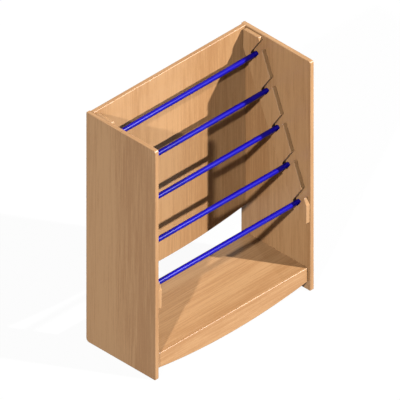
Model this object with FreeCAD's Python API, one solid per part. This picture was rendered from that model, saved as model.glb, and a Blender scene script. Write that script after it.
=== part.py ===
import FreeCAD, Part
import math
import os

# Periodical display rack: a beech board carcass with a bowed back and a bowed plinth, and two
# sawtooth profile plates whose slanted slots hold loose steel rods.
# Millimetres. Z is up, X runs across the rack and the front faces -Y. The origin lies on the
# floor under the middle of the rack. A depth is measured forward from the rear edge of the sides.

Vec = FreeCAD.Vector

# ---- Carcass ----
overall_width = 800.0
overall_depth = 350.0
overall_height = 1000.0
board = 18.0                   # thickness of every board
edge_bevel = 1.8               # along the edges of the carcass boards
side_top_front_radius = 10.0
side_foot_front_radius = 6.0
side_foot_rear_radius = 15.0
back_inset = 5.0               # rear face of the back, in from the rear edge of the sides
back_low_point = 185.0         # lowest point of the back's curved lower edge
bow_rise = 30.0                # a curved lower edge stands this much higher at its ends
rear_gap = 5.0                 # between the back and the shelf or plates in front of it
shelf_top = 98.0
shelf_front_inset = 12.0       # shelf and plinth, in from the front edge of the sides
plinth_floor_gap = 8.0         # under the middle of the plinth

# ---- Profile plates ----
plate_top_drop = 6.0           # top of a plate below the top of the sides
plate_front_inset = 3.0        # nose of a plate, in from the front edge of the sides
plate_head_depth = 77.0        # length of the level top edge
plate_nose_height = 380.0      # where the slanting front edge turns upright
plate_foot_height = 300.0
plate_upper_width = 103.0      # square to the slanting front edge, at its upper end
plate_lower_width = 78.0       # the same at its lower end
plate_heel_radius = 20.0
plate_corner_radius = 4.0
plate_edge_bevel = 1.2

# ---- Rods and their slots ----
rod_count = 5
rod_diameter = 20.0
rod_wall = 1.5
rod_end_gap = 1.0              # between the end of a rod and the side
rod_seat_gap = 0.3             # between a rod and the round end of its slot
slot_play = 7.0                # how much wider a slot is than its rod
slot_lean = 33.0               # degrees that a slot leans forward from upright
slot_depth = 67.0              # from the front edge to the centre of the round end
first_slot = 31.0              # from the top of the front edge to the middle of the first slot
last_slot = 49.0               # from the middle of the last slot to the lower end of that edge
mouth_radius = 6.0
plug_head_length = 3.0
plug_stem_length = 15.0
plug_rib_width = 3.0           # of the four ribs that make up the stem
plug_bore_gap = 0.3            # between the ribs and the bore of the tube

# ---- Dowels and cam fittings ----
flat_pairs = 5                 # pairs of flat sides round each of these small pieces and its hole
dowel_diameter = 8.0
dowel_in_side = 12.0
dowel_in_board = 23.0
dowel_in_plate = 12.0
glue_space = 1.0               # how much deeper a dowel hole is than its dowel
plinth_dowel_count = 3
plinth_dowel_spacing = 250.0
fitting_end_distance = 60.0    # from the end of a joint to its first cam fitting
fitting_spacing = 32.0         # from a cam fitting to the dowel beside it
cam_diameter = 15.0
cam_height = 12.5
cam_distance = 34.0            # from the end of a board to the middle of its cam
cam_key_width = 2.5
cam_key_length = 10.0
cam_key_depth = 2.0
bolt_diameter = 5.0
bolt_thread_length = 10.0
bolt_head_diameter = 7.0
bolt_head_length = 3.0
bolt_play = 0.5                # radial room round a bolt in its board and its cam

# ---- Places that follow from these ----
inner_x = overall_width / 2 - board
inner_rear = back_inset + board + rear_gap
shelf_front = overall_depth - shelf_front_inset
shelf_underside = shelf_top - board
shelf_middle_z = shelf_top - board / 2
back_middle_depth = back_inset + board / 2
back_end_z = back_low_point + bow_rise
plinth_middle_depth = shelf_front - board / 2
plinth_end_z = plinth_floor_gap + bow_rise
plinth_cam_z = (plinth_end_z + shelf_underside) / 2
slot_radius = (rod_diameter + slot_play) / 2
bolt_hole_radius = bolt_head_diameter / 2 + bolt_play
across = Vec(1, 0, 0)
forward = Vec(0, -1, 0)
up = Vec(0, 0, 1)


# ---- Helpers ----
def at(x, depth, z):
    """The point at a depth in front of the rear edge of the sides."""
    return Vec(x, overall_depth / 2 - depth, z)


def slab(corners, length):
    """A flat face through the corners at x = 0, drawn out along +X."""
    outline = [at(0, depth, z) for depth, z in corners]
    face = Part.Face(Part.makePolygon(outline + outline[:1]))
    return face.extrude(across * length)


def near(point, depth, z):
    """Whether a point lies on the line along X through this depth and height."""
    reach = point - at(point.x, depth, z)
    return reach.Length < 0.01


def edges_along_x(solid, places):
    """The edges of a solid that run along X through the given (depth, height) places."""
    found = []
    for edge in solid.Edges:
        ends = [vertex.Point for vertex in edge.Vertexes]
        for depth, z in places:
            if len(ends) == 2 and all(near(end, depth, z) for end in ends):
                found.append(edge)
    return found


def edges_in_plane(solid, normal, distance):
    """The edges of a solid that lie in the plane at this distance from the origin."""
    found = []
    for edge in solid.Edges:
        middle = edge.valueAt((edge.FirstParameter + edge.LastParameter) / 2)
        points = [vertex.Point for vertex in edge.Vertexes] + [middle]
        if all(abs(point.dot(normal) - distance) < 0.01 for point in points):
            found.append(edge)
    return found


def small_round(start, direction, radius, length):
    """A small round bar along an axis of the rack, or the hole for one, with flat sides."""
    side = up if direction.cross(up).Length > 0 else across
    turns = [math.pi * step / flat_pairs for step in range(2 * flat_pairs)]
    rim = [start + side * radius * math.cos(turn) + direction.cross(side) * radius * math.sin(turn)
           for turn in turns]
    return Part.Face(Part.makePolygon(rim + rim[:1])).extrude(direction * length)


def drill(solid, holes):
    """Cut small holes, each (start, direction, radius, length), out of a solid."""
    for hole in holes:
        solid = solid.cut(small_round(*hole))
    return solid


def mirrored(shape):
    """The same shape on the other side of the rack."""
    return shape.mirror(Vec(0, 0, 0), across)


def both_sides(shapes):
    """The right-hand shapes and their mirror images."""
    return shapes + [mirrored(shape) for shape in shapes]


def save(name, shape):
    """Write one node."""
    shape.exportStep("parts/" + name + ".step")


# ---- The slanting front edge, its slots and where the rods lie in them ----
plate_top = overall_height - plate_top_drop
plate_nose_depth = overall_depth - plate_front_inset
head_front_depth = inner_rear + plate_head_depth
front_run = (plate_nose_depth - head_front_depth, plate_nose_height - plate_top)
front_length = math.hypot(*front_run)
front_edge = (front_run[0] / front_length, front_run[1] / front_length)
rod_pitch = (front_length - first_slot - last_slot) / (rod_count - 1)
slot_rise = (math.sin(math.radians(slot_lean)), math.cos(math.radians(slot_lean)))


def behind_front_edge(run, width):
    """The depth and height of a place this far down the front edge and square behind it."""
    depth = head_front_depth + run * front_edge[0] + width * front_edge[1]
    z = plate_top + run * front_edge[1] - width * front_edge[0]
    return depth, z


def along_slot(number, sideways, upward):
    """The depth and height of a place in a slot, from the centre of its round end."""
    depth, z = behind_front_edge(first_slot + number * rod_pitch, 0)
    depth += sideways * slot_rise[1] + (upward - slot_depth) * slot_rise[0]
    z += (upward - slot_depth) * slot_rise[1] - sideways * slot_rise[0]
    return depth, z


def rod_place(number):
    """The depth and height of a rod's axis, lying at the lowest point of its slot."""
    depth, z = along_slot(number, 0, 0)
    return depth, z - (slot_radius - rod_diameter / 2 - rod_seat_gap)


def tooth_middle(number):
    """The depth and height of the middle of the tooth below a slot."""
    depth, z = along_slot(number, 0, 0)
    return depth + front_edge[0] * rod_pitch / 2, z + front_edge[1] * rod_pitch / 2


def on_front_edge(number, side):
    """Where the upper (-1) or lower (+1) wall of a slot meets the slanting front edge."""
    depth, z = along_slot(number, side * slot_radius, 0)
    gap = (head_front_depth - depth, plate_top - z)
    crossing = front_edge[0] * slot_rise[1] - front_edge[1] * slot_rise[0]
    run = (gap[1] * front_edge[0] - gap[0] * front_edge[1]) / crossing
    return depth + run * slot_rise[0], z + run * slot_rise[1]


# ---- Where the joints of the carcass lie, as (depth, height) on the inner face of a side ----
def joint_row(low, high):
    """Cam fittings near the ends of a joint line, with a dowel inside each."""
    cams = [low + fitting_end_distance, high - fitting_end_distance]
    dowels = [cams[0] + fitting_spacing, cams[1] - fitting_spacing]
    return cams, dowels


shelf_cams, shelf_dowels = joint_row(inner_rear, shelf_front)
back_cams, back_dowels = joint_row(back_end_z, overall_height)
plinth_dowel_row = (plinth_dowel_count - 1) * plinth_dowel_spacing

cam_places = {
    "shelf": [(depth, shelf_middle_z) for depth in shelf_cams],
    "back": [(back_middle_depth, z) for z in back_cams],
    "plinth": [(plinth_middle_depth, plinth_cam_z)],
}
cam_faces = {"shelf": -up, "back": -forward, "plinth": -forward}
dowel_places = {
    "shelf": [(depth, shelf_middle_z) for depth in shelf_dowels],
    "back": [(back_middle_depth, z) for z in back_dowels],
    "plate": [tooth_middle(number) for number in range(rod_count - 1)],
}
plinth_dowel_places = [at(number * plinth_dowel_spacing - plinth_dowel_row / 2,
                          plinth_middle_depth, shelf_underside)
                       for number in range(plinth_dowel_count)]


def dowel(root, direction, behind, ahead):
    """A plain dowel through a joint face at root."""
    return small_round(root - direction * behind, direction, dowel_diameter / 2, behind + ahead)


def dowel_hole(root, direction, depth):
    """The hole for one half of a dowel."""
    return root, direction, dowel_diameter / 2, depth + glue_space


def side_holes():
    """The holes in the inner face of the right-hand side."""
    holes = []
    for places in dowel_places.values():
        holes += [dowel_hole(at(inner_x, *place), across, dowel_in_side) for place in places]
    for places in cam_places.values():
        holes += [(at(inner_x, *place), across, bolt_diameter / 2, bolt_thread_length)
                  for place in places]
    return holes


def board_holes(name):
    """The dowel, bolt and cam holes in both ends of a board between the sides."""
    holes = []
    for sense in (1, -1):
        for place in dowel_places.get(name, []):
            holes.append(dowel_hole(at(sense * inner_x, *place), across * -sense, dowel_in_board))
        for place in cam_places[name]:
            end = at(sense * inner_x, *place)
            holes.append((end, across * -sense, bolt_hole_radius, cam_distance))
            holes.append((cam_seat(end, sense, cam_faces[name]), cam_faces[name],
                          cam_diameter / 2, cam_height))
    return holes


def cam_seat(end, sense, face):
    """The centre of a cam's inner end: the cam runs from there out to the board's face."""
    return end - across * sense * cam_distance + face * (board / 2 - cam_height)


# ---- Sides: two upright boards that carry everything and stand on the floor ----
def side_panel():
    """The right-hand side."""
    foot_front = (overall_depth, 0)
    foot_rear = (0, 0)
    top_front = (overall_depth, overall_height)
    top_rear = (0, overall_height)
    panel = slab([foot_rear, foot_front, top_front, top_rear], board)
    panel = panel.makeFillet(side_top_front_radius, edges_along_x(panel, [top_front]))
    panel = panel.makeFillet(side_foot_front_radius, edges_along_x(panel, [foot_front]))
    panel = panel.makeFillet(side_foot_rear_radius, edges_along_x(panel, [foot_rear]))
    rims = edges_in_plane(panel, across, 0) + edges_in_plane(panel, across, board)
    panel = panel.makeChamfer(edge_bevel, rims + edges_along_x(panel, [top_rear]))
    panel.translate(across * inner_x)
    return drill(panel, side_holes())


# ---- Back and plinth: boards between the sides whose lower edge bows down in the middle ----
def bowed_board(rear_depth, top_z, low_z):
    """A board with a level top edge and a curved lower edge."""
    top = [at(sense * inner_x, rear_depth, top_z) for sense in (-1, 1)]
    ends = [at(sense * inner_x, rear_depth, low_z + bow_rise) for sense in (-1, 1)]
    low_edge = Part.Arc(ends[0], at(0, rear_depth, low_z), ends[1]).toShape()
    outline = Part.Wire([Part.makeLine(top[0], top[1]), Part.makeLine(top[1], ends[1]),
                         low_edge, Part.makeLine(ends[0], top[0])])
    return Part.Face(outline).extrude(forward * board)


def curved_edges(solid):
    """The edges along the curved lower edge of a bowed board."""
    return [edge for edge in solid.Edges if edge.Curve.TypeId == "Part::GeomCircle"]


def back_panel():
    """The upright back, level with the top of the sides."""
    panel = bowed_board(back_inset, overall_height, back_low_point)
    top_edges = edges_along_x(panel, [(back_inset, overall_height),
                                      (back_inset + board, overall_height)])
    panel = panel.makeChamfer(edge_bevel, top_edges + curved_edges(panel))
    return drill(panel, board_holes("back"))


def front_plinth():
    """The plinth under the front of the shelf, flush with it."""
    panel = bowed_board(shelf_front - board, shelf_underside, plinth_floor_gap)
    panel = panel.makeChamfer(edge_bevel, curved_edges(panel))
    holes = [dowel_hole(place, -up, dowel_in_board) for place in plinth_dowel_places]
    return drill(panel, board_holes("plinth") + holes)


# ---- Shelf: the bottom board, bevelled at the front and at both rear edges ----
def bottom_shelf():
    """The level shelf that stacks of periodicals stand on."""
    corners = [(inner_rear, shelf_underside), (shelf_front, shelf_underside),
               (shelf_front, shelf_top), (inner_rear, shelf_top)]
    panel = slab(corners, 2 * inner_x)
    bevelled = [corners[0], corners[2], corners[3]]
    panel = panel.makeChamfer(edge_bevel, edges_along_x(panel, bevelled))
    panel.translate(across * -inner_x)
    holes = [dowel_hole(place, up, dowel_in_side) for place in plinth_dowel_places]
    return drill(panel, board_holes("shelf") + holes)


# ---- Profile plates: sawtooth boards on the inner faces of the sides ----
def slot_cutter(number):
    """What is cut away for one slot: a round end and straight walls out past the front edge."""
    reach = slot_depth + rod_pitch / 2
    walls = [along_slot(number, -slot_radius, 0), along_slot(number, slot_radius, 0),
             along_slot(number, slot_radius, reach), along_slot(number, -slot_radius, reach)]
    round_end = Part.makeCylinder(slot_radius, board, at(0, *along_slot(number, 0, 0)), across)
    return slab(walls, board).fuse(round_end)


def profile_plate():
    """The right-hand plate: a leaning strip with a slot for each rod."""
    upper = behind_front_edge(0, plate_upper_width)
    lower = behind_front_edge(front_length, plate_lower_width)
    rear_slope = (lower[1] - upper[1]) / (lower[0] - upper[0])
    head_rear = (inner_rear, plate_top)
    head_front = (head_front_depth, plate_top)
    nose = (plate_nose_depth, plate_nose_height)
    toe = (plate_nose_depth, plate_foot_height)
    heel = (upper[0] + (plate_foot_height - upper[1]) / rear_slope, plate_foot_height)
    rear_bend = (inner_rear, upper[1] + (inner_rear - upper[0]) * rear_slope)
    plate = slab([head_rear, head_front, nose, toe, heel, rear_bend], board)
    plate = plate.makeFillet(plate_heel_radius, edges_along_x(plate, [heel]))
    corners = [head_rear, toe, nose, rear_bend]
    plate = plate.makeFillet(plate_corner_radius, edges_along_x(plate, corners))
    for number in range(rod_count):
        plate = plate.cut(slot_cutter(number))
    mouths = [on_front_edge(number, side) for number in range(rod_count) for side in (-1, 1)]
    plate = plate.makeFillet(plate_corner_radius, edges_along_x(plate, [head_front]))
    plate = plate.makeFillet(mouth_radius, edges_along_x(plate, mouths))
    rims = edges_in_plane(plate, across, 0) + edges_in_plane(plate, across, board)
    plate = plate.makeChamfer(plate_edge_bevel, rims)
    plate.translate(across * (inner_x - board))
    holes = [dowel_hole(at(inner_x, *place), -across, dowel_in_plate)
             for place in dowel_places["plate"]]
    return drill(plate, holes)


# ---- Rods: steel tubes that lift out of their slots, with a plastic plug in each end ----
rod_half_length = inner_x - rod_end_gap
tube_half_length = rod_half_length - plug_head_length
bore_radius = rod_diameter / 2 - rod_wall


def rod_tube(number):
    """The tube of one rod."""
    start = at(-tube_half_length, *rod_place(number))
    outside = Part.makeCylinder(rod_diameter / 2, 2 * tube_half_length, start, across)
    bore = Part.makeCylinder(bore_radius, 2 * tube_half_length, start, across)
    return outside.cut(bore)


def rod_plugs(number):
    """Both plugs of one rod: a head over the tube's end and a cross-ribbed stem inside it."""
    seat = at(tube_half_length, *rod_place(number))
    head = Part.makeCylinder(rod_diameter / 2, plug_head_length, seat, across)
    long_side = 2 * math.sqrt((bore_radius - plug_bore_gap) ** 2 - (plug_rib_width / 2) ** 2)
    for depth, height in ((long_side, plug_rib_width), (plug_rib_width, long_side)):
        corner = seat - Vec(plug_stem_length, depth / 2, height / 2)
        head = head.fuse(Part.makeBox(plug_stem_length, depth, height, corner))
    return Part.makeCompound(both_sides([head.removeSplitter()]))


# ---- Dowels and cam fittings that hold the boards together ----
def side_dowels(name, ahead):
    """The dowels from both sides into one kind of board."""
    right = [dowel(at(inner_x, *place), -across, dowel_in_side, ahead)
             for place in dowel_places[name]]
    return Part.makeCompound(both_sides(right))


def plinth_dowels():
    """The upright dowels between the plinth and the shelf."""
    return Part.makeCompound([dowel(place, -up, dowel_in_side, dowel_in_board)
                              for place in plinth_dowel_places])


def cam_bolt(place):
    """A steel bolt screwed into the right-hand side, with its head in the cam."""
    root = at(inner_x, *place)
    head_start = cam_distance - bolt_head_length / 2
    pin = small_round(root + across * bolt_thread_length, -across, bolt_diameter / 2,
                      bolt_thread_length + head_start)
    head = small_round(root - across * head_start, -across, bolt_head_diameter / 2,
                       bolt_head_length)
    return pin.fuse(head)


def cam_housing(place, face):
    """A round cam, flush with the hidden face of its board, open towards the bolt."""
    root = at(inner_x, *place)
    seat = cam_seat(root, 1, face)
    body = small_round(seat, face, cam_diameter / 2, cam_height)
    jaw_length = cam_diameter / 2 + bolt_head_length
    jaw_start = root - across * (cam_distance - cam_diameter / 2)
    jaw = small_round(jaw_start, -across, bolt_hole_radius, jaw_length)
    key = Part.makeBox(cam_key_length, cam_key_width, cam_key_depth)
    key.translate(Vec(-cam_key_length / 2, -cam_key_width / 2, -cam_key_depth))
    key.Placement = FreeCAD.Placement(seat + face * cam_height,
                                      FreeCAD.Rotation(up, face)).multiply(key.Placement)
    return body.cut(jaw).cut(key)


# ---- Write every node ----
os.makedirs("parts", exist_ok=True)
save("side_panel_right", side_panel())
save("side_panel_left", mirrored(side_panel()))
save("back_panel", back_panel())
save("bottom_shelf", bottom_shelf())
save("front_plinth", front_plinth())
save("profile_plate_right", profile_plate())
save("profile_plate_left", mirrored(profile_plate()))

for rod in range(rod_count):
    label = str(rod + 1)
    save("rod_tube_" + label, rod_tube(rod))
    save("rod_plugs_" + label, rod_plugs(rod))

save("shelf_dowels", side_dowels("shelf", dowel_in_board))
save("back_dowels", side_dowels("back", dowel_in_board))
save("plate_dowels", side_dowels("plate", dowel_in_plate))
save("plinth_dowels", plinth_dowels())
for board_name, places in cam_places.items():
    bolts = [cam_bolt(place) for place in places]
    housings = [cam_housing(place, cam_faces[board_name]) for place in places]
    save(board_name + "_cam_bolts", Part.makeCompound(both_sides(bolts)))
    save(board_name + "_cam_housings", Part.makeCompound(both_sides(housings)))
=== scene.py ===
import math

import bpy
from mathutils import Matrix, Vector


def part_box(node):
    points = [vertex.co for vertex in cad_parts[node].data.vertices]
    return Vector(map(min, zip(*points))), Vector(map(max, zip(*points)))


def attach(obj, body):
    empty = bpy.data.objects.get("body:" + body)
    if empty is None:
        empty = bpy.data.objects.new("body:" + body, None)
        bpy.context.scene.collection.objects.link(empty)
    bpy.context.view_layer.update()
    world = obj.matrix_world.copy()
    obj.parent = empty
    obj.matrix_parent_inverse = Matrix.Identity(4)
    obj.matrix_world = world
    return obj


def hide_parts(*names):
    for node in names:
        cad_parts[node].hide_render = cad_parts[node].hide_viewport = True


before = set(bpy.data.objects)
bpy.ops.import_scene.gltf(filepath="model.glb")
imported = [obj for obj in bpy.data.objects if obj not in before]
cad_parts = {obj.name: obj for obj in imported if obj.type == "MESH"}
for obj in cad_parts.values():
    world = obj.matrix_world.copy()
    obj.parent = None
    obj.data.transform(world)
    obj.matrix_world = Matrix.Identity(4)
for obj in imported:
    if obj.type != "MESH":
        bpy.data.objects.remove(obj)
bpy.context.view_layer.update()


# ---- The two sides ----
# Upright beech boards, eased along every edge and rounded at the corners. They carry the whole
# rack: the other boards and the profile plates are dowelled and bolted to their inner faces.
def put(tree, kind, inputs=None, **settings):
    """A new node. Each input is a value, a socket that feeds it, or a list of such sockets."""
    made = tree.nodes.new(kind)
    for name, value in settings.items():
        setattr(made, name, value)
    for key, value in (inputs or {}).items():
        if isinstance(value, (bpy.types.NodeSocket, list)):
            for source in value if isinstance(value, list) else [value]:
                tree.links.new(source, made.inputs[key])
        else:
            made.inputs[key].default_value = value
    return made


def new_tree(kind, name, inputs, outputs):
    """An empty node tree with named inputs and outputs, and the sockets of its two end nodes."""
    tree = bpy.data.node_groups.new(name, kind)
    for in_out, sockets in (("INPUT", inputs), ("OUTPUT", outputs)):
        for label, socket_type in sockets.items():
            tree.interface.new_socket(name=label, in_out=in_out,
                                      socket_type="NodeSocket" + socket_type)
    return tree, put(tree, "NodeGroupInput").outputs, put(tree, "NodeGroupOutput").inputs


def number_math(tree, operation, first, second=0.0, third=0.0):
    """The number that comes from one sum on numbers."""
    return put(tree, "ShaderNodeMath", {0: first, 1: second, 2: third},
               operation=operation).outputs["Value"]


def minus(tree, number):
    """A number with its sign turned round."""
    return number_math(tree, "MULTIPLY", number, -1.0)


def vector_math(tree, operation, first, second=(0, 0, 0)):
    """The vector that comes from one sum on vectors."""
    return put(tree, "ShaderNodeVectorMath", {0: first, 1: second},
               operation=operation).outputs["Vector"]


def scaled(tree, vector, factor):
    """A vector times a number."""
    return put(tree, "ShaderNodeVectorMath", {0: vector, "Scale": factor},
               operation="SCALE").outputs["Vector"]


def dot(tree, first, second):
    """The dot product of two vectors."""
    return put(tree, "ShaderNodeVectorMath", {0: first, 1: second},
               operation="DOT_PRODUCT").outputs["Value"]


def vector_of(tree, x=0.0, y=0.0, z=0.0):
    """A vector from three numbers."""
    return put(tree, "ShaderNodeCombineXYZ", {"X": x, "Y": y, "Z": z}).outputs["Vector"]


def axes_of(tree, vector):
    """The three numbers of a vector, by the names X, Y and Z."""
    return put(tree, "ShaderNodeSeparateXYZ", {"Vector": vector}).outputs


def ranged(tree, value, start, end, low=0.0, high=1.0):
    """A number that goes from low to high, and no further, as a value goes from start to end."""
    return put(tree, "ShaderNodeMapRange", {"Value": value, "From Min": start, "From Max": end,
                                            "To Min": low, "To Max": high}).outputs["Result"]


def above(tree, value, limit):
    """Whether a number is more than a limit."""
    return put(tree, "FunctionNodeCompare", {0: value, 1: limit}, data_type="FLOAT",
               operation="GREATER_THAN").outputs["Result"]


def either(tree, kind, condition, if_true, if_false):
    """One of two values, as a condition says."""
    return put(tree, "GeometryNodeSwitch",
               {"Switch": condition, "True": if_true, "False": if_false},
               input_type=kind).outputs["Output"]


def position(tree):
    """Where each point is."""
    return put(tree, "GeometryNodeInputPosition").outputs["Position"]


def stored(tree, name, data_type="FLOAT"):
    """The values kept under this name on the points."""
    return put(tree, "GeometryNodeInputNamedAttribute", {"Name": name},
               data_type=data_type).outputs["Attribute"]


def worked(tree, kind, geometry, inputs=None, **settings):
    """The geometry after one more step, which takes it in and gives it out at its first sockets."""
    return put(tree, "GeometryNode" + kind, {0: geometry, **(inputs or {})}, **settings).outputs[0]


def keeping(tree, geometry, name, value, data_type="FLOAT"):
    """The geometry, with a value kept under a name on each of its points."""
    return worked(tree, "StoreNamedAttribute", geometry, {"Name": name, "Value": value},
                  data_type=data_type, domain="POINT")


def facing(tree, mesh, direction):
    """The mesh, with the direction that its surface really faces kept on each point."""
    return keeping(tree, mesh, "facing", direction, "FLOAT_VECTOR")


def moved(tree, geometry, offset):
    """The geometry, moved by an offset."""
    return worked(tree, "SetPosition", geometry, {"Offset": offset})


def filled(tree, outline):
    """The flat face inside a closed outline."""
    return worked(tree, "FillCurve", outline, mode="NGONS")


def four_corners(tree, corners, closed):
    """A line through four points in a plane, open or closed."""
    points = {"Point %d" % number: corner for number, corner in enumerate(corners, 1)}
    line = put(tree, "GeometryNodeCurvePrimitiveQuadrilateral", points, mode="POINTS")
    return worked(tree, "SetSplineCyclic", line.outputs["Curve"], {"Cyclic": closed})


def sharp_where_bent(tree, mesh):
    """The mesh, with its edges marked sharp wherever they bend by more than a round's facets do."""
    bend = put(tree, "GeometryNodeInputMeshEdgeAngle").outputs["Unsigned Angle"]
    return worked(tree, "SetShadeSmooth", mesh,
                  {"Selection": above(tree, bend, facet_angle), "Shade Smooth": False},
                  domain="EDGE")


def finished(tree, geometry, finish):
    """The geometry as one plain mesh with a finish, which ends every tree."""
    return worked(tree, "SetMaterial", worked(tree, "RealizeInstances", geometry),
                  {"Material": finish})


def board_outline(tree, given):
    """The outline through a board's corner points, each corner rounded, and its cams' points."""
    points = worked(tree, "MeshToPoints", given["Corners"])
    sorted_out = put(tree, "GeometryNodeSeparateGeometry",
                     {"Geometry": points, "Selection": stored(tree, "cam", "BOOLEAN")}).outputs
    curve = worked(tree, "PointsToCurves", sorted_out["Inverted"],
                   {"Weight": stored(tree, "order")})
    curve = worked(tree, "CurveSplineType", curve, spline_type="POLY")
    curve = worked(tree, "SetSplineCyclic", curve, {"Cyclic": True})
    curve = worked(tree, "FilletCurve", curve,
                   {"Count": given["Steps"], "Radius": stored(tree, "corner_radius")}, mode="POLY")
    tangent = put(tree, "GeometryNodeInputTangent").outputs["Tangent"]
    curve = keeping(tree, curve, "outward", vector_math(tree, "CROSS_PRODUCT", tangent, up),
                    "FLOAT_VECTOR")
    return curve, sorted_out["Selection"]


def edge_section(tree, given, half):
    """The section of a board's edge: two quarter rounds with a flat between them. Its Y runs from
    the front face to the rear one, and each point keeps the way in which the round faces there."""
    place = position(tree)
    front_radius, rear_radius = given["Edge Radius"], given["Rear Radius"]
    section = four_corners(tree, (
        vector_of(tree, minus(tree, front_radius), minus(tree, half)),
        vector_of(tree, 0.0, minus(tree, half)), vector_of(tree, 0.0, half),
        vector_of(tree, minus(tree, rear_radius), half)), closed=False)
    to_rear = above(tree, axes_of(tree, place)["Y"], 0.0)
    radius = either(tree, "FLOAT", to_rear, rear_radius, front_radius)
    section = worked(tree, "FilletCurve", section, {"Count": given["Steps"], "Radius": radius},
                     mode="POLY")
    flat_low = vector_of(tree, minus(tree, radius),
                         number_math(tree, "SUBTRACT", front_radius, half))
    flat_high = vector_of(tree, minus(tree, radius),
                          number_math(tree, "SUBTRACT", half, rear_radius))
    centre = vector_math(tree, "MAXIMUM", vector_math(tree, "MINIMUM", place, flat_high), flat_low)
    away = vector_math(tree, "NORMALIZE", vector_math(tree, "SUBTRACT", place, centre))
    return keeping(tree, section, "around", away, "FLOAT_VECTOR")


def cut_to_box(tree, shell, given):
    """The shell, cut flat at a box's faces. What lies past a face, or only just short of it, goes
    onto it. Its direction keeps just the part that lies along that face, so that the rounds run
    straight up to it."""
    place = position(tree)
    near = (0.0002,) * 3
    inside = vector_math(tree, "MAXIMUM", place, vector_math(tree, "ADD", given["Cut Low"], near))
    inside = vector_math(tree, "MINIMUM", inside,
                         vector_math(tree, "SUBTRACT", given["Cut High"], near))
    past = vector_math(tree, "SIGN", vector_math(tree, "SUBTRACT", place, inside))
    along = vector_math(tree, "SUBTRACT", (1, 1, 1), vector_math(tree, "ABSOLUTE", past))
    direction = stored(tree, "facing", "FLOAT_VECTOR")
    shell = facing(tree, shell, vector_math(tree, "MULTIPLY", direction, along))
    cut = vector_math(tree, "ADD", inside, vector_math(tree, "MULTIPLY", past, near))
    return worked(tree, "SetPosition", shell, {"Position": cut})


def shaded(tree, shell):
    """The shell, shaded by the directions kept on its points. Where a face points clearly another
    way, as one that was cut flat or lies in a pocket does, it shows its own direction."""
    same_way = 0.9
    shell = sharp_where_bent(tree, shell)
    kept = vector_math(tree, "NORMALIZE", stored(tree, "facing", "FLOAT_VECTOR"))
    own = worked(tree, "FieldOnDomain", put(tree, "GeometryNodeInputNormal").outputs["True Normal"],
                 data_type="FLOAT_VECTOR", domain="FACE")
    shown = either(tree, "VECTOR", above(tree, dot(tree, kept, own), same_way), kept, own)
    return worked(tree, "SetMeshNormal", shell, {"Custom Normal": shown},
                  mode="FREE", domain="CORNER")


def eased_board_tree():
    """A flat board through corner points, with a round on every edge, cut flat at a box's faces."""
    tree, given, result = new_tree("GeometryNodeTree", "eased board", board_inputs,
                                   {"Board": "Geometry"})
    half = number_math(tree, "DIVIDE", given["Thickness"], 2.0)
    curve, cam_points = board_outline(tree, given)
    outward = stored(tree, "outward", "FLOAT_VECTOR")
    around = axes_of(tree, stored(tree, "around", "FLOAT_VECTOR"))
    rim = worked(tree, "CurveToMesh", curve, {"Profile Curve": edge_section(tree, given, half)})
    rim = facing(tree, rim, vector_math(tree, "SUBTRACT", scaled(tree, outward, around["X"]),
                                        scaled(tree, up, around["Y"])))

    edge = moved(tree, curve, scaled(tree, outward, minus(tree, given["Edge Radius"])))
    front = facing(tree, moved(tree, filled(tree, edge), vector_of(tree, z=half)), up)

    # Each cam lies in a round pocket in the rear face, whose wall faces the cam.
    ring = put(tree, "GeometryNodeCurvePrimitiveCircle",
               {"Radius": given["Cam Radius"], "Resolution": cam_sides}, mode="RADIUS")
    rings = worked(tree, "InstanceOnPoints", cam_points, {"Instance": ring.outputs["Curve"]})
    rings = worked(tree, "RealizeInstances", rings)
    edge = moved(tree, curve, scaled(tree, outward, minus(tree, given["Rear Radius"])))
    rear = filled(tree, worked(tree, "JoinGeometry", [edge, rings]))
    rear = worked(tree, "FlipFaces", moved(tree, rear, vector_of(tree, z=minus(tree, half))))
    rear = facing(tree, rear, down)
    pocket_top = number_math(tree, "SUBTRACT", half, given["Cam Depth"])
    wall_line = put(tree, "GeometryNodeCurvePrimitiveLine",
                    {"Start": vector_of(tree, 0.0, half), "End": vector_of(tree, 0.0, pocket_top)},
                    mode="POINTS").outputs["Curve"]
    walls = worked(tree, "CurveToMesh", rings, {"Profile Curve": wall_line})
    tops = moved(tree, filled(tree, rings), vector_of(tree, z=minus(tree, pocket_top)))
    shell = worked(tree, "JoinGeometry", [rim, front, rear, walls, worked(tree, "FlipFaces", tops)])

    turn = put(tree, "FunctionNodeEulerToRotation", {"Euler": given["Turn"]}).outputs["Rotation"]
    shell = worked(tree, "Transform", shell, {"Rotation": turn, "Translation": given["Place"]})
    shell = facing(tree, shell, put(
        tree, "FunctionNodeRotateVector",
        {"Vector": stored(tree, "facing", "FLOAT_VECTOR"), "Rotation": turn}).outputs["Vector"])
    shell = worked(tree, "MergeByDistance", cut_to_box(tree, shell, given), {"Distance": touching})
    shell = shaded(tree, shell)
    for name in ("facing", "outward", "around", "order", "corner_radius", "cam"):
        shell = worked(tree, "RemoveAttribute", shell, {"Name": name})
    tree.links.new(finished(tree, shell, given["Finish"]), result["Board"])
    return tree


def from_tree(name, tree, sizes, base=None):
    """A plain mesh object, grown by a Geometry Nodes tree with these values in its inputs."""
    piece = bpy.data.objects.new(name, base or bpy.data.meshes.new(name))
    bpy.context.scene.collection.objects.link(piece)
    grown = piece.modifiers.new(tree.name, "NODES")
    grown.node_group = tree
    for socket in tree.interface.items_tree:
        if socket.in_out == "INPUT" and socket.name in sizes:
            grown[socket.identifier] = sizes[socket.name]
    evaluated = piece.evaluated_get(bpy.context.evaluated_depsgraph_get())
    piece.data = bpy.data.meshes.new_from_object(evaluated)
    piece.modifiers.remove(grown)
    piece.data.name = name
    return piece


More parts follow.
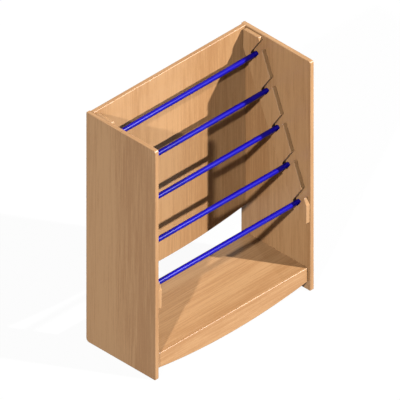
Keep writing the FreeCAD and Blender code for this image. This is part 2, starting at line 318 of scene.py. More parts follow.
def corner_points(name, corners, cams=()):
    """An outline's corners, (across, along, radius), and its cams, (across, along), as points."""
    mesh = bpy.data.meshes.new(name)
    mesh.from_pydata([(x, y, 0) for x, y, *_ in (*corners, *cams)], [], [])
    is_cam = [False] * len(corners) + [True] * len(cams)
    radii = [radius for _, _, radius in corners] + [0.0] * len(cams)
    for label, kind, values in (("order", "FLOAT", list(range(len(is_cam)))),
                                ("corner_radius", "FLOAT", radii), ("cam", "BOOLEAN", is_cam)):
        mesh.attributes.new(label, kind, "POINT").data.foreach_set("value", values)
    return mesh


def mixed(tree, kind, factor, first, second):
    """Two vectors or two colours, mixed. The node's sockets share names, so they go by number."""
    first_socket, result = {"VECTOR": (4, 1), "RGBA": (6, 2)}[kind]
    return put(tree, "ShaderNodeMix",
               {"Factor": factor, first_socket: first, first_socket + 1: second},
               data_type=kind).outputs[result]


def beech_grain_group():
    """Beech as a pattern through the whole board: a slow drift of tone, soft streaks, fine pores
    and short flecks. Its grain runs along Z."""
    group, given, result = new_tree(
        "ShaderNodeTree", "beech grain",
        {"Vector": "Vector", "Board": "Float", "Pale": "Color", "Dark": "Color",
         "Streaks": "Float", "Flecks": "Float"},
        {"Color": "Color", "Roughness": "Float", "Height": "Float"})
    board = given["Board"]
    spread = vector_math(group, "MULTIPLY", vector_of(group, board, board, board), (3.1, 1.7, 5.3))
    place = vector_math(group, "ADD", given["Vector"], spread)

    def streaks(across, along, detail):
        """Noise with so many turns in a metre across the grain, and along it."""
        stretched = vector_math(group, "MULTIPLY", place, (across, across, along))
        return put(group, "ShaderNodeTexNoise", {
            "Vector": stretched, "Scale": 1.0, "Detail": detail, "Roughness": 0.55}).outputs["Fac"]

    drift = streaks(across=5.0, along=0.5, detail=1.0)
    broad = streaks(across=38.0, along=1.6, detail=2.0)
    fine = streaks(across=260.0, along=6.0, detail=3.0)
    pores = streaks(across=1500.0, along=60.0, detail=1.0)
    flecks = ranged(group, streaks(across=620.0, along=95.0, detail=1.0), start=0.63, end=0.72)
    usual_noise, usual_tone = 0.5, 0.42
    darkness = 0.0
    for pattern, strength in ((drift, 1.6), (broad, 0.9), (fine, 1.9), (pores, 0.9)):
        change = number_math(group, "SUBTRACT", pattern, usual_noise)
        darkness = number_math(group, "MULTIPLY_ADD", change, strength, darkness)
    darkness = number_math(group, "MULTIPLY_ADD", darkness, given["Streaks"], usual_tone)
    darkness = number_math(group, "MULTIPLY_ADD", flecks, given["Flecks"], darkness)
    colour = mixed(group, "RGBA", darkness, given["Pale"], given["Dark"])
    group.links.new(colour, result["Color"])
    smoothest, rougher = 0.36, 0.16
    roughness = number_math(group, "MULTIPLY_ADD", fine, rougher, smoothest)
    group.links.new(roughness, result["Roughness"])
    group.links.new(number_math(group, "ADD", fine, pores), result["Height"])
    return group


def beech(name, board, along, edges, routed=0.0):
    """A lacquered beech finish. board tells one board's grain from another's. along is the turn
    that lays the grain along the board's faces. edges is a turn and an axis: it does the same for
    the edges that face along that axis. The last argument is how much painted shade darkens the
    edges that carry the attribute of its name: the walls of slots and the edges between them."""
    finish = bpy.data.materials.new(name)
    finish.use_nodes = True
    tree = finish.node_tree
    shader = tree.nodes["Principled BSDF"]
    coordinates = put(tree, "ShaderNodeTexCoord").outputs

    turn, axis = edges
    on_faces, on_edges = [put(tree, "ShaderNodeMapping", {
        "Vector": coordinates["Object"], "Rotation": rotation}).outputs["Vector"]
        for rotation in (along, turn)]
    least_edgewise = 0.7
    edgewise = number_math(tree, "ABSOLUTE", dot(tree, coordinates["Normal"], axis))
    is_edge = number_math(tree, "GREATER_THAN", edgewise, least_edgewise)
    grain = put(tree, "ShaderNodeGroup", {
        "Vector": mixed(tree, "VECTOR", is_edge, on_faces, on_edges), "Board": board,
        "Pale": (0.640, 0.360, 0.166, 1.0), "Dark": (0.495, 0.250, 0.103, 1.0),
        "Streaks": 1.5, "Flecks": 0.30}, node_tree=beech_grain).outputs
    bump = put(tree, "ShaderNodeBump", {"Height": grain["Height"], "Strength": 0.06,
                                        "Distance": 0.0002})

    # Painted shade: a slot's walls are darkened evenly, and the open edge between two slots only a
    # little.
    axes = axes_of(tree, vector_math(tree, "ABSOLUTE", coordinates["Normal"]))
    off_the_faces = ranged(tree, axes["X"], start=0.9, end=0.4)
    painted_shade_mask = put(tree, "ShaderNodeAttribute", attribute_name="routed").outputs["Fac"]
    painted_shade_mask = number_math(tree, "MAXIMUM", painted_shade_mask, ranged(tree, painted_shade_mask, start=0.36, end=0.42))
    painted_shade_mask = number_math(tree, "MULTIPLY", painted_shade_mask, off_the_faces)
    tone = number_math(tree, "MULTIPLY_ADD", painted_shade_mask, -routed, 1.0)

    # A board passes on little of its light to the others, so that their shadows stay deep.
    held_back = 0.9
    bounced = put(tree, "ShaderNodeLightPath").outputs["Is Diffuse Ray"]
    passed_on = number_math(tree, "MULTIPLY_ADD", bounced, -held_back, 1.0)
    tone = number_math(tree, "MULTIPLY", tone, passed_on)

    # The lacquer is thin on the flat faces and lies thicker on the rounded edges.
    squarest = number_math(tree, "MAXIMUM", number_math(tree, "MAXIMUM", axes["X"], axes["Y"]),
                           axes["Z"])
    lacquer = ranged(tree, squarest, start=0.93, end=0.85, low=0.3, high=1.0)
    for label, source in (("Base Color", scaled(tree, grain["Color"], tone)),
                          ("Roughness", grain["Roughness"]), ("Normal", bump.outputs["Normal"]),
                          ("Coat Weight", lacquer)):
        tree.links.new(source, shader.inputs[label])
    shader.inputs["Specular IOR Level"].default_value = 0.1
    shader.inputs["Coat IOR"].default_value = 1.7
    shader.inputs["Coat Roughness"].default_value = 0.3
    return finish


up, down = (0, 0, 1), (0, 0, -1)
facet_angle = 0.6          # radians, more than the facets of any round turn from one to the next
touching = 0.00001         # points closer than this are one
cam_sides = 48
edge_radius = 0.003
round_steps = 8
no_cut = 10.0              # a face of the cutting box that lies far outside the rack
board_inputs = {
    "Corners": "Geometry", "Thickness": "Float", "Edge Radius": "Float", "Rear Radius": "Float",
    "Steps": "Int", "Turn": "Vector", "Place": "Vector", "Cut Low": "Vector", "Cut High": "Vector",
    "Cam Radius": "Float", "Cam Depth": "Float", "Finish": "Material"}
eased_board = eased_board_tree()
beech_grain = beech_grain_group()
grain_upright = (0.0, 0.0, 0.0)
grain_forward = (math.radians(90), 0.0, 0.0)
grain_across = (0.0, math.radians(90), 0.0)
facing_sideways = (math.radians(90), 0.0, math.radians(90))

side_low, side_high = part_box("side_panel_right")
side_corners = [(side_low.y, side_high.z, 0.010), (side_low.y, side_low.z, 0.006),
                (side_high.y, side_low.z, 0.015), (side_high.y, side_high.z, edge_radius)]
for name, node, board in (("left_side", "side_panel_left", 1.41),
                          ("right_side", "side_panel_right", 2.41)):
    low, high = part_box(node)
    side = from_tree(name, eased_board, {
        "Thickness": high.x - low.x, "Edge Radius": edge_radius, "Rear Radius": edge_radius,
        "Steps": round_steps, "Turn": facing_sideways, "Place": ((low.x + high.x) / 2, 0.0, 0.0),
        "Cut Low": (-no_cut,) * 3, "Cut High": (no_cut,) * 3,
        "Finish": beech(name + "_beech", board, grain_upright, (grain_forward, up))},
        corner_points(name, side_corners))
    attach(side, "carcass")
    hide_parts(node)


# ---- The back ----
# A beech board between the sides, level with their tops, whose lower edge bows down in the middle.
# Two cam fittings at each end pull it against the sides, and two dowels keep it in line.
def bow(half_width, low, rise, reach, radius):
    """The points of a curved lower edge, which stands higher at its ends, out to a given reach."""
    curve_radius = (half_width ** 2 + rise ** 2) / (2 * rise)
    steps = 24
    across = [reach * (2 * step / steps - 1) for step in range(steps + 1)]
    return [(x, low + curve_radius - math.sqrt(curve_radius ** 2 - x ** 2),
             radius if abs(x) == reach else 0.0) for x in across]


def bowed_corners(low, top):
    """The corners of a board whose lower edge is bowed. It is drawn past its ends to be cut."""
    return [(-past_end, top, edge_radius),
            *bow(between_sides, low, bow_rise, past_end, edge_radius),
            (past_end, top, edge_radius)]


back_low, back_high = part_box("back_panel")
bow_rise = 0.030
between_sides = back_high.x
past_end = between_sides + edge_radius
cam_inset = 0.034          # from a side's inner face
cam_across = between_sides - cam_inset
cam_radius = 0.0075
cam_height = 0.0125
cam_gap = 0.0001
back_cam_places = [(side * cam_across, height) for side in (-1, 1) for height in (0.275, 0.940)]
upright = (math.radians(90), 0.0, 0.0)

back = from_tree("bowed_back", eased_board, {
    "Thickness": back_high.y - back_low.y, "Edge Radius": edge_radius,
    "Rear Radius": edge_radius, "Steps": round_steps,
    "Turn": upright, "Place": (0.0, (back_low.y + back_high.y) / 2, 0.0),
    "Cut Low": (-between_sides, -no_cut, -no_cut), "Cut High": (between_sides, no_cut, no_cut),
    "Cam Radius": cam_radius + cam_gap, "Cam Depth": cam_height,
    "Finish": beech("back_beech", 4.82, grain_upright, (grain_across, up))},
    corner_points("bowed_back", bowed_corners(back_low.z, back_high.z), back_cam_places))
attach(back, "carcass")
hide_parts("back_panel")


# ---- The bottom shelf ----
# A level beech board on which stacks of papers stand, with its grain across the rack. Its lower
# edges stay square, because the plinth closes up against the front one.
shelf_low, shelf_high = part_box("bottom_shelf")
shelf_cam_places = [(side * cam_across, along) for side in (-1, 1) for along in (0.087, -0.103)]
shelf_corners = [(across * past_end, along, edge_radius) for across, along in (
    (-1, shelf_low.y), (1, shelf_low.y), (1, shelf_high.y), (-1, shelf_high.y))]

shelf = from_tree("shelf_board", eased_board, {
    "Thickness": shelf_high.z - shelf_low.z, "Edge Radius": edge_radius, "Rear Radius": 0.0,
    "Steps": round_steps, "Place": (0.0, 0.0, (shelf_high.z + shelf_low.z) / 2),
    "Cut Low": (-between_sides, -no_cut, -no_cut), "Cut High": (between_sides, no_cut, no_cut),
    "Cam Radius": cam_radius + cam_gap, "Cam Depth": cam_height,
    "Finish": beech("shelf_beech", 6.32, grain_across, (grain_across, (0, 1, 0)))},
    corner_points("shelf_board", shelf_corners, shelf_cam_places))
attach(shelf, "carcass")
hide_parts("bottom_shelf")


# ---- The plinth ----
# A narrow beech board on edge under the front of the shelf and flush with it. Its lower edge bows
# down in the middle as the back's does, and dowels tie its square top edge to the shelf.
plinth_low, plinth_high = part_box("front_plinth")
plinth_cam_places = [(side * cam_across, 0.059) for side in (-1, 1)]
past_top = plinth_high.z + edge_radius

plinth = from_tree("bowed_plinth", eased_board, {
    "Thickness": plinth_high.y - plinth_low.y, "Edge Radius": edge_radius,
    "Rear Radius": edge_radius, "Steps": round_steps,
    "Turn": upright, "Place": (0.0, (plinth_low.y + plinth_high.y) / 2, 0.0),
    "Cut Low": (-between_sides, -no_cut, -no_cut),
    "Cut High": (between_sides, no_cut, plinth_high.z),
    "Cam Radius": cam_radius + cam_gap, "Cam Depth": cam_height,
    "Finish": beech("plinth_beech", 5.7, grain_across, (grain_across, up))},
    corner_points("bowed_plinth", bowed_corners(plinth_low.z, past_top), plinth_cam_places))
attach(plinth, "carcass")
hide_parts("front_plinth")


# ---- The sawtooth profile plates ----
# Beech strips glued and dowelled to the inner face of each side. Slots with a round end are routed
# into their leaning front edge at an even pitch and leave a row of teeth that hold the rods.
def sawtooth_plate_tree():
    """The outline of a plate with its slots, made into an eased board."""
    inputs = {**board_inputs, "Slots": "Int", "First Slot": "Vector", "Step": "Vector",
              "Lean": "Float", "Slot Width": "Float", "Slot Depth": "Float",
              "Mouth Radius": "Float"}
    tree, given, result = new_tree("GeometryNodeTree", "sawtooth plate", inputs,
                                   {"Plate": "Geometry"})

    # One slot, from the middle of its mouth: two mouth corners on the front edge, two at the end.
    half = number_math(tree, "DIVIDE", given["Slot Width"], 2.0)
    out_of_slot, across_slot = [
        put(tree, "ShaderNodeVectorRotate", {"Vector": line, "Angle": given["Lean"]},
            rotation_type="Z_AXIS").outputs["Vector"] for line in ((0, 1, 0), (-1, 0, 0))]
    down_edge = vector_math(tree, "NORMALIZE", given["Step"])
    slant = put(tree, "ShaderNodeVectorMath",
                {0: vector_math(tree, "CROSS_PRODUCT", down_edge, out_of_slot)},
                operation="LENGTH").outputs["Value"]
    mouth = scaled(tree, down_edge, number_math(tree, "DIVIDE", half, slant))
    depth = number_math(tree, "ADD", given["Slot Depth"], half)
    end = scaled(tree, out_of_slot, minus(tree, depth))
    beside = scaled(tree, across_slot, half)
    slot = four_corners(tree, (
        scaled(tree, mouth, -1.0), vector_math(tree, "SUBTRACT", end, beside),
        vector_math(tree, "ADD", end, beside), mouth), closed=True)
    slot = worked(tree, "CurveToMesh", slot)
    number = put(tree, "GeometryNodeInputIndex").outputs["Index"]

    # Corners 0 and 3 lie at the mouth, and 1 and 2 at the end.
    from_middle = number_math(tree, "ABSOLUTE", number_math(tree, "SUBTRACT", number, 1.5))
    at_end = above(tree, 1.0, from_middle)
    slot = keeping(tree, slot, "corner_radius",
                   either(tree, "FLOAT", at_end, half, given["Mouth Radius"]))
    slot = keeping(tree, slot, "turn", number)

    # Painted shade: it darkens a slot right to its end, and the edge between two mouths only a
    # little.
    shade_at_mouth = 0.35
    slot = keeping(tree, slot, "routed",
                   number_math(tree, "MULTIPLY_ADD", at_end, 1.0 - shade_at_mouth, shade_at_mouth))
    row = put(tree, "GeometryNodeMeshLine", {
        "Count": given["Slots"], "Start Location": given["First Slot"],
        "Offset": given["Step"]}, mode="OFFSET").outputs["Mesh"]
    row = worked(tree, "InstanceOnPoints", keeping(tree, row, "slot", number), {"Instance": slot})
    row = worked(tree, "RealizeInstances", row)

    # The slots' corners come between the plate's first corner, 0, and its second, 1.
    per_slot = 4.0
    turn = number_math(tree, "MULTIPLY_ADD", stored(tree, "slot"), per_slot, stored(tree, "turn"))
    turn = number_math(tree, "ADD", turn, 1.0)
    last = number_math(tree, "MULTIPLY_ADD", given["Slots"], per_slot, 1.0)
    row = keeping(tree, row, "order", number_math(tree, "DIVIDE", turn, last))
    outline = worked(tree, "JoinGeometry", [given["Corners"], row])
    board = {name: given[name] for name in board_inputs}
    plate = put(tree, "GeometryNodeGroup", {**board, "Corners": outline},
                node_tree=eased_board).outputs["Board"]
    for name in ("slot", "turn"):
        plate = worked(tree, "RemoveAttribute", plate, {"Name": name})
    tree.links.new(finished(tree, plate, given["Finish"]), result["Plate"])
    return tree


sawtooth_plate = sawtooth_plate_tree()
plate_low, plate_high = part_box("profile_plate_right")
plate_edge_radius = 0.0022
plate_round_steps = 10
plate_corner_radius = 0.004
heel_radius = 0.020
head_depth = 0.077         # length of the level top edge
nose_height = 0.380        # where the leaning front edge turns upright
foot_rear = -0.1220        # the lower end of the leaning rear edge
rear_bend_height = 0.9133  # its upper end
slot_count = 5
first_slot = 0.031         # from the top of the leaning edge to the middle of the first mouth
last_slot = 0.049          # from the middle of the last mouth to the nose
slot_lean = math.radians(33)
slot_width = 0.027
slot_depth = 0.067
mouth_radius = 0.0025
head_front = Vector((plate_high.y - head_depth, plate_high.z, 0.0))
nose = Vector((plate_low.y, nose_height, 0.0))
front_edge = nose - head_front
down_front = front_edge.normalized()
pitch = (front_edge.length - first_slot - last_slot) / (slot_count - 1)
plate_corners = [(head_front.x, head_front.y, plate_corner_radius),
                 (nose.x, nose.y, plate_corner_radius),
                 (plate_low.y, plate_low.z, plate_corner_radius),
                 (foot_rear, plate_low.z, heel_radius),
                 (plate_high.y, rear_bend_height, plate_corner_radius),
                 (plate_high.y, plate_high.z, plate_corner_radius)]

for name, node, board in (("left_plate", "profile_plate_left", 8.51),
                          ("right_plate", "profile_plate_right", 9.51)):
    low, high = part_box(node)
    plate = from_tree(name, sawtooth_plate, {
        "Thickness": high.x - low.x, "Edge Radius": plate_edge_radius,
        "Rear Radius": plate_edge_radius, "Steps": plate_round_steps,
        "Turn": facing_sideways, "Place": ((low.x + high.x) / 2, 0.0, 0.0),
        "Cut Low": (-no_cut,) * 3, "Cut High": (no_cut,) * 3, "Slots": slot_count,
        "First Slot": head_front + down_front * first_slot, "Step": down_front * pitch,
        "Lean": slot_lean, "Slot Width": slot_width, "Slot Depth": slot_depth,
        "Mouth Radius": mouth_radius,
        # the plates' slot walls and the edges between the mouths take painted shade
        "Finish": beech(name + "_beech", board, grain_upright, (grain_forward, up), routed=0.88)},
        corner_points(name, plate_corners))
    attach(plate, "carcass")
    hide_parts(node)


# ---- The cam fittings ----
# Round zinc die-castings, pressed into the hidden faces of the boards and flush with them. A
# screwdriver slot turns each one, and that draws in the head of a bolt from the side.
def turned_tree():
    """A turned shape: a section, with its radius along X and its height along Y, goes round Z."""
    tree, given, result = new_tree("GeometryNodeTree", "turned shape",
                                   {"Section": "Geometry", "Steps": "Int"}, {"Shape": "Geometry"})
    path_radius = 0.01
    place = axes_of(tree, position(tree))
    on_path = vector_of(tree, number_math(tree, "SUBTRACT", place["X"], path_radius),
                        minus(tree, place["Y"]))
    section = worked(tree, "SetPosition", given["Section"], {"Position": on_path})
    path = put(tree, "GeometryNodeCurvePrimitiveCircle",
               {"Radius": path_radius, "Resolution": given["Steps"]}, mode="RADIUS")
    shape = worked(tree, "CurveToMesh", path.outputs["Curve"], {"Profile Curve": section})
    shape = worked(tree, "MergeByDistance", worked(tree, "FlipFaces", shape),
                   {"Distance": touching})
    shape = worked(tree, "SetShadeSmooth", shape, {"Shade Smooth": True}, domain="FACE")
    tree.links.new(sharp_where_bent(tree, shape), result["Shape"])
    return tree


def turned(tree, corners, rim, closed=False, sides=64):
    """A turned shape from the four corners, (radius, height), of its section, each rounded."""
    section = four_corners(tree, [vector_of(tree, *corner) for corner in corners], closed)
    section = worked(tree, "FilletCurve", section, {"Count": 4, "Radius": rim}, mode="POLY")
    return put(tree, "GeometryNodeGroup", {"Section": section, "Steps": sides},
               node_tree=turned_shape).outputs["Shape"]


def cam_fittings_tree():
    """A cam on each point, flush with the face that it looks out of."""
    tree, given, result = new_tree(
        "GeometryNodeTree", "cam fittings",
        {"Places": "Geometry", "Radius": "Float", "Height": "Float", "Rim": "Float",
         "Key": "Vector", "Turn": "Vector", "Finish": "Material"}, {"Cams": "Geometry"})
    inner = minus(tree, given["Height"])
    cam = turned(tree, ((0.0, inner), (given["Radius"], inner), (given["Radius"], 0.0), (0.0, 0.0)),
                 given["Rim"], sides=cam_sides)
    key = put(tree, "GeometryNodeMeshCube", {"Size": given["Key"]}).outputs["Mesh"]
    cam = put(tree, "GeometryNodeMeshBoolean", {"Mesh 1": cam, "Mesh 2": key},
              operation="DIFFERENCE", solver="EXACT").outputs["Mesh"]
    turn = put(tree, "FunctionNodeEulerToRotation", {"Euler": given["Turn"]}).outputs["Rotation"]
    cams = worked(tree, "InstanceOnPoints", given["Places"], {"Instance": cam, "Rotation": turn})
    tree.links.new(finished(tree, cams, given["Finish"]), result["Cams"])
    return tree


def mottle_group():
    """A nearly even surface: its tone varies in soft patches, and its gloss with a finer skin."""
    group, given, result = new_tree(
        "ShaderNodeTree", "mottle",
        {"Vector": "Vector", "Color": "Color", "Least Tone": "Float", "Most Tone": "Float",
         "Patches": "Float", "Patch Detail": "Float", "Skin": "Float", "Skin Detail": "Float",
         "Roughness": "Float", "Spread": "Float"},
        {"Color": "Color", "Roughness": "Float", "Height": "Float"})
    patches, skin = [put(group, "ShaderNodeTexNoise", {
        "Vector": given["Vector"], "Scale": given[scale], "Detail": given[detail]}).outputs["Fac"]
        for scale, detail in (("Patches", "Patch Detail"), ("Skin", "Skin Detail"))]
    tone = ranged(group, patches, 0.0, 1.0, given["Least Tone"], given["Most Tone"])
    gloss = ranged(group, skin, 0.0, 1.0,
                   number_math(group, "SUBTRACT", given["Roughness"], given["Spread"]),
                   number_math(group, "ADD", given["Roughness"], given["Spread"]))
    group.links.new(scaled(group, given["Color"], tone), result["Color"])
    group.links.new(gloss, result["Roughness"])
    group.links.new(skin, result["Height"])
    return group


def mottled(name, surface, bump_strength):
    """A new finish with a mottled surface, its tree, its shader and the colour that it shows."""
    finish = bpy.data.materials.new(name)
    finish.use_nodes = True
    tree = finish.node_tree
    shader = tree.nodes["Principled BSDF"]
    place = put(tree, "ShaderNodeTexCoord").outputs["Object"]
    shown = put(tree, "ShaderNodeGroup", {"Vector": place, **surface}, node_tree=mottle).outputs
    bump = put(tree, "ShaderNodeBump", {"Height": shown["Height"], "Strength": bump_strength,
                                        "Distance": 0.0001})
    for label, source in (("Base Color", shown["Color"]), ("Roughness", shown["Roughness"]),
                          ("Normal", bump.outputs["Normal"])):
        tree.links.new(source, shader.inputs[label])
    return finish, tree, shader, shown["Color"]


def metal(name, colour, roughness, grain):
    """A plain metal with so many grains in a metre."""
    finish, _, shader, _ = mottled(name, {
        "Color": colour, "Least Tone": 0.85, "Most Tone": 1.1, "Patches": grain,
        "Patch Detail": 4.0, "Skin": grain, "Skin Detail": 4.0, "Roughness": roughness,
        "Spread": 0.08}, bump_strength=0.1)
    shader.inputs["Metallic"].default_value = 1.0
    return finish


turned_shape = turned_tree()
cam_fittings = cam_fittings_tree()
mottle = mottle_group()
cam_zinc = metal("zinc_casting", (0.55, 0.56, 0.58, 1.0), roughness=0.42, grain=900.0)
cam_rim = 0.0004
cam_key = (0.010, 0.0025, 0.004)
out_of_rear = (math.radians(-90), 0.0, 0.0)
out_of_underside = (math.radians(180), 0.0, 0.0)
cam_rows = (
    ("back_cams", "back_cam_housings", out_of_rear,
     [(x, back_high.y, z) for x, z in back_cam_places]),
    ("plinth_cams", "plinth_cam_housings", out_of_rear,
     [(x, plinth_high.y, z) for x, z in plinth_cam_places]),
    ("shelf_cams", "shelf_cam_housings", out_of_underside,
     [(x, y, shelf_low.z) for x, y in shelf_cam_places]))
for name, node, turn, places in cam_rows:
    points = bpy.data.meshes.new(name)
    points.from_pydata(places, [], [])
    cams = from_tree(name, cam_fittings, {
        "Radius": cam_radius, "Height": cam_height, "Rim": cam_rim, "Key": cam_key,
        "Turn": turn, "Finish": cam_zinc}, points)
    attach(cams, "carcass")
    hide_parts(node)


# ---- The hidden bolts and dowels ----
# Zinc-plated steel bolts run from the sides into the cams, and 8 mm beech dowels keep each joint
# in line. They stay as the frame has them, inside the boards.
def dress(nodes, finish):
    """Gives CAD nodes a finish."""
    for name in nodes:
        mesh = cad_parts[name].data
        if not mesh.materials:
            mesh.materials.append(finish)
        for number in range(len(mesh.materials)):
            mesh.materials[number] = finish


dress(("shelf_cam_bolts", "back_cam_bolts", "plinth_cam_bolts"),
      metal("plated_steel", (0.62, 0.62, 0.60, 1.0), roughness=0.35, grain=1200.0))
dress(("shelf_dowels", "back_dowels", "plate_dowels"),
      beech("dowel_beech_across", 9.2, grain_across, (grain_across, up)))
dress(("plinth_dowels",),
      beech("dowel_beech_upright", 9.9, grain_upright, (grain_upright, up)))


# ---- The rods ----
# Steel tubes with a blue powder coat and a plastic plug in each end, which lie loose in the slots
# of the plates. Each is a body of its own.
def coated_tube_tree():
    """A tube along X with its middle at a place, with small rounds at the rims of its ends."""
    tree, given, result = new_tree(
        "GeometryNodeTree", "coated tube",
        {"Blank": "Geometry", "Length": "Float", "Radius": "Float", "Wall": "Float",
         "Rim": "Float", "Place": "Vector", "Finish": "Material"}, {"Tube": "Geometry"})
    half = number_math(tree, "DIVIDE", given["Length"], 2.0)
    low = minus(tree, half)
    bore = number_math(tree, "SUBTRACT", given["Radius"], given["Wall"])
    tube = turned(tree, ((bore, low), (given["Radius"], low), (given["Radius"], half),
                         (bore, half)), given["Rim"], closed=True)
    tube = worked(tree, "Transform", tube, {"Rotation": along_x, "Translation": given["Place"]})
    tree.links.new(finished(tree, tube, given["Finish"]), result["Tube"])
    return tree


def end_plugs_tree():
    """Both plugs of a rod: a head over the end of the tube and a cross-ribbed stem in its bore."""
    tree, given, result = new_tree(
        "GeometryNodeTree", "end plugs",
        {"Blank": "Geometry", "Reach": "Float", "Radius": "Float", "Head": "Float",
         "Rim": "Float", "Stem": "Float", "Rib": "Float", "Bore": "Float", "Place": "Vector",
         "Finish": "Material"}, {"Plugs": "Geometry"})
    head = turned(tree, ((0.0, 0.0), (given["Radius"], 0.0), (given["Radius"], given["Head"]),
                         (0.0, given["Head"])), given["Rim"])
    rib_fit, overlap = 0.97, 0.001
    across_bore = number_math(tree, "MULTIPLY", given["Bore"], 2.0 * rib_fit)
    length = number_math(tree, "ADD", given["Stem"], overlap)
    ribs = [put(tree, "GeometryNodeMeshCube", {"Size": vector_of(tree, *size, length)}).outputs[0]
            for size in ((across_bore, given["Rib"]), (given["Rib"], across_bore))]
    stem = put(tree, "GeometryNodeMeshBoolean", {1: ribs}, operation="UNION",
               solver="EXACT").outputs["Mesh"]
    middle = number_math(tree, "MULTIPLY_ADD", length, -0.5, overlap)
    stem = moved(tree, stem, vector_of(tree, z=middle))
    plug = worked(tree, "Transform", worked(tree, "JoinGeometry", [head, stem]),
                  {"Rotation": along_x})

    # One plug looks out at each end, so that the second is turned round.
    apart = number_math(tree, "MULTIPLY", given["Reach"], -2.0)
    ends = put(tree, "GeometryNodeMeshLine", {
        "Count": 2, "Start Location": vector_of(tree, given["Reach"]),
        "Offset": vector_of(tree, apart)}, mode="OFFSET").outputs["Mesh"]
    number = put(tree, "GeometryNodeInputIndex").outputs["Index"]
    half_turn = vector_of(tree, z=number_math(tree, "MULTIPLY", number, math.pi))
    turn = put(tree, "FunctionNodeEulerToRotation", {"Euler": half_turn}).outputs["Rotation"]
    plugs = worked(tree, "InstanceOnPoints", ends, {"Instance": plug, "Rotation": turn})
    plugs = moved(tree, worked(tree, "RealizeInstances", plugs), given["Place"])
    tree.links.new(finished(tree, plugs, given["Finish"]), result["Plugs"])
    return tree


def coating(name, colour, roughness, peel):
    """A coloured coat with a faint orange peel, darkened by painted shade where it turns away."""
    finish, tree, shader, shown = mottled(name, {
        "Color": colour, "Least Tone": 0.92, "Most Tone": 1.08, "Patches": 30.0,
        "Patch Detail": 3.0, "Skin": 700.0, "Skin Detail": 2.0, "Roughness": roughness,
        "Spread": 0.04}, bump_strength=peel)
    # Painted shade: the colour grows darker towards the rim that turns away from the view.
    painted_rim_shade = 0.8
    turned_away = put(tree, "ShaderNodeLayerWeight", {"Blend": 0.5}).outputs["Facing"]
    depth = number_math(tree, "MULTIPLY_ADD", turned_away, -painted_rim_shade, 1.0)
    tree.links.new(scaled(tree, shown, depth), shader.inputs["Base Color"])
    shader.inputs["Specular IOR Level"].default_value = 0.15
    return finish


along_x = (0.0, math.radians(90), 0.0)
coated_tube = coated_tube_tree()
end_plugs = end_plugs_tree()
rod_radius = 0.010
tube_wall = 0.0015
tube_rim = 0.0004
plug_rim = 0.0008
stem_length = 0.015
rib_width = 0.003
stem_gap = 0.0003
rod_blue = coating("blue_powder_coat", (0.010, 0.004, 0.46, 1.0), roughness=0.30, peel=0.02)
plug_plastic = coating("blue_plastic", (0.010, 0.004, 0.24, 1.0), roughness=0.40, peel=0.05)
for number in range(1, slot_count + 1):
    low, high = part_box("rod_tube_%d" % number)
    middle = (low + high) / 2
    plug_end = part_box("rod_plugs_%d" % number)[1].x
    tube = from_tree("coated_tube_%d" % number, coated_tube, {
        "Length": high.x - low.x, "Radius": rod_radius, "Wall": tube_wall, "Rim": tube_rim,
        "Place": middle, "Finish": rod_blue})
    plugs = from_tree("end_plugs_%d" % number, end_plugs, {
        "Reach": high.x, "Radius": rod_radius, "Head": plug_end - high.x, "Rim": plug_rim,
        "Stem": stem_length, "Rib": rib_width, "Bore": rod_radius - tube_wall - stem_gap,
        "Place": middle, "Finish": plug_plastic})
    for piece, node, slot in ((tube, "rod_tube_%d", "rod_blue"),
                              (plugs, "rod_plugs_%d", "plug_plastic")):
        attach(piece, "rod_%d" % number)
        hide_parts(node % number)


# ---- Floor, light and camera ----
# A pale floor that looks white to the eye and keeps a faint shadow, two soft lamps high in front,
# the right-hand one the stronger, a weak one behind that fills the rear, and a camera that looks
# down evenly along all three axes.
def seen_directly(tree):
    """1 for what the camera sees, also in a mirror or through glass, and 0 for light on things."""
    rays = put(tree, "ShaderNodeLightPath").outputs
    seen = number_math(tree, "MAXIMUM", rays["Is Camera Ray"], rays["Is Glossy Ray"])
    return number_math(tree, "MAXIMUM", seen, rays["Is Transmission Ray"])


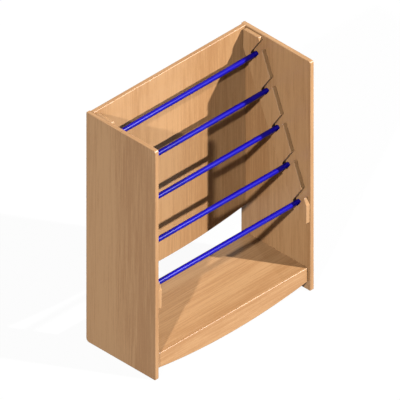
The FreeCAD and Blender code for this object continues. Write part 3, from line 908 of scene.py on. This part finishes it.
floor_reach = 40.0
floor_mesh = bpy.data.meshes.new("floor")
floor_mesh.from_pydata([(x * floor_reach, y * floor_reach, 0.0)
                        for x, y in ((-1, -1), (1, -1), (1, 1), (-1, 1))], [], [(0, 1, 2, 3)])
floor = bpy.data.objects.new("floor", floor_mesh)
bpy.context.scene.collection.objects.link(floor)
floor_finish = bpy.data.materials.new("pale_floor")
floor_finish.use_nodes = True
floor_tree = floor_finish.node_tree
floor_tree.nodes.clear()
white = (1.0, 1.0, 1.0, 1.0)
seen = seen_directly(floor_tree)
tone = number_math(floor_tree, "MULTIPLY_ADD", seen, 0.9, 0.1)
matt = put(floor_tree, "ShaderNodeBsdfDiffuse", {"Color": vector_of(floor_tree, tone, tone, tone)})
bright = put(floor_tree, "ShaderNodeEmission", {"Color": white, "Strength": 1.0})
brightness = number_math(floor_tree, "MULTIPLY", seen, 0.95)
floor_mix = put(floor_tree, "ShaderNodeMixShader", {
    0: brightness, 1: matt.outputs[0], 2: bright.outputs[0]})
put(floor_tree, "ShaderNodeOutputMaterial", {"Surface": floor_mix.outputs[0]})
floor_mesh.materials.append(floor_finish)

world = bpy.data.worlds.new("studio")
bpy.context.scene.world = world
world.use_nodes = True
world_tree = world.node_tree
world_tree.nodes.clear()
around = number_math(world_tree, "MULTIPLY_ADD", seen_directly(world_tree), 0.97, 0.03)
sky = put(world_tree, "ShaderNodeBackground", {"Color": white, "Strength": around})
put(world_tree, "ShaderNodeOutputWorld", {"Surface": sky.outputs[0]})

lamp_angle = math.radians(1.5)
lamps = (("right_lamp", (0.428, -0.722, 0.544), 4.3), ("left_lamp", (-0.750, -0.400, 0.530), 2.2),
         ("rear_lamp", (0.35, 0.93, 0.10), 1.6))
for name, direction, strength in lamps:
    lamp = bpy.data.lights.new(name, "SUN")
    lamp.energy = strength
    lamp.angle = lamp_angle
    holder = bpy.data.objects.new(name, lamp)
    holder.rotation_euler = Vector(direction).to_track_quat("Z", "Y").to_euler()
    bpy.context.scene.collection.objects.link(holder)

view_centre = Vector((0.0, 0.0, 0.503))
view_line = Vector((-1.0, -1.0, 1.0)).normalized()
view_distance = 8.0
camera = bpy.data.objects.new("camera", bpy.data.cameras.new("camera"))
camera.data.type = "ORTHO"
camera.data.ortho_scale = 1.426
camera.data.clip_end = 50.0
camera.location = view_centre + view_line * view_distance
camera.rotation_euler = (-view_line).to_track_quat("-Z", "Y").to_euler()
bpy.context.scene.collection.objects.link(camera)
bpy.context.scene.camera = camera
bpy.context.scene.view_settings.view_transform = "Standard"
